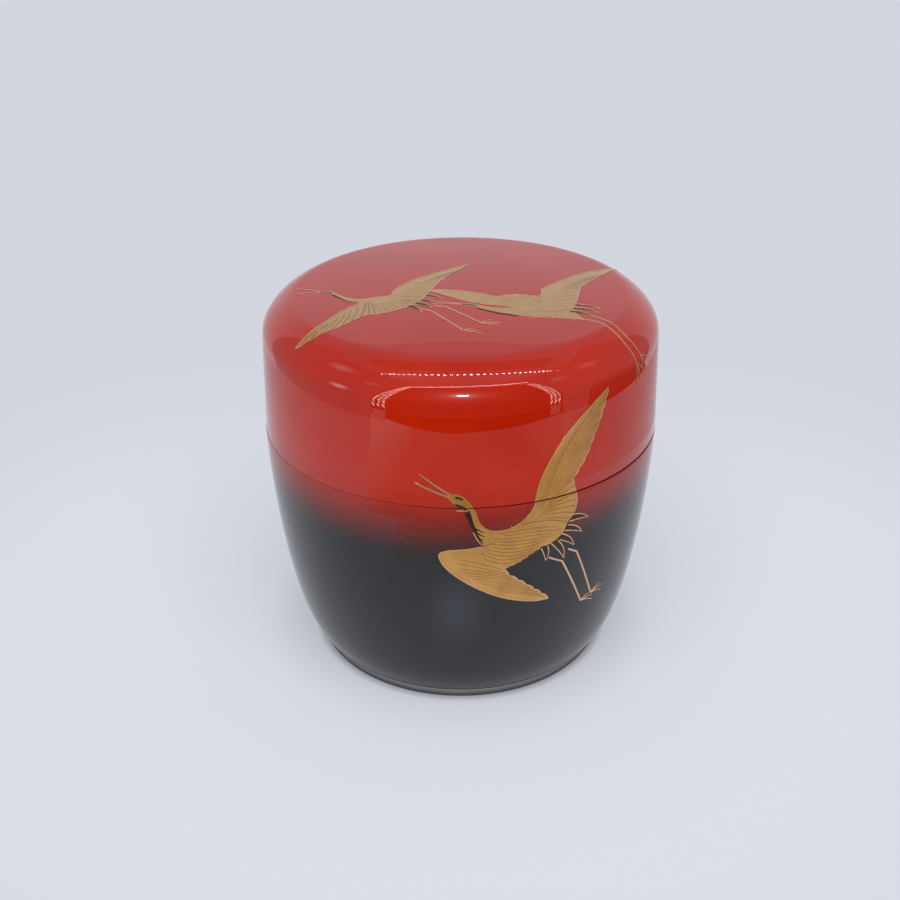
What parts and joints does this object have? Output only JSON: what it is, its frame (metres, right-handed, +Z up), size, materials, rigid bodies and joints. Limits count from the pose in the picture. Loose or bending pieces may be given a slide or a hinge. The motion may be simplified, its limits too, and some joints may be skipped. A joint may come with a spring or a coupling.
{
  "type": "lacquer tea caddy",
  "caption": "Round turned tea caddy for powdered tea, with a bellied body, a low foot and a domed lid that lifts off a rising rim.",
  "frame": {"origin": "centre of the standing surface, on the turning axis, under the foot ring", "axes": "+Z up along the turning axis; -Y faces the viewer of the front crane"},
  "size_m": [0.066, 0.066, 0.064],
  "materials": {
    "vermilion_lacquer": "polished gloss lacquer over turned wood",
    "black_lacquer": "polished gloss lacquer over turned wood",
    "gold_powder": "sprinkled metal powder, burnished to a satin"
  },
  "bodies": {
    "root": {"body": "black_lacquer", "lid": "vermilion_lacquer"}
  },
  "joints": []
}
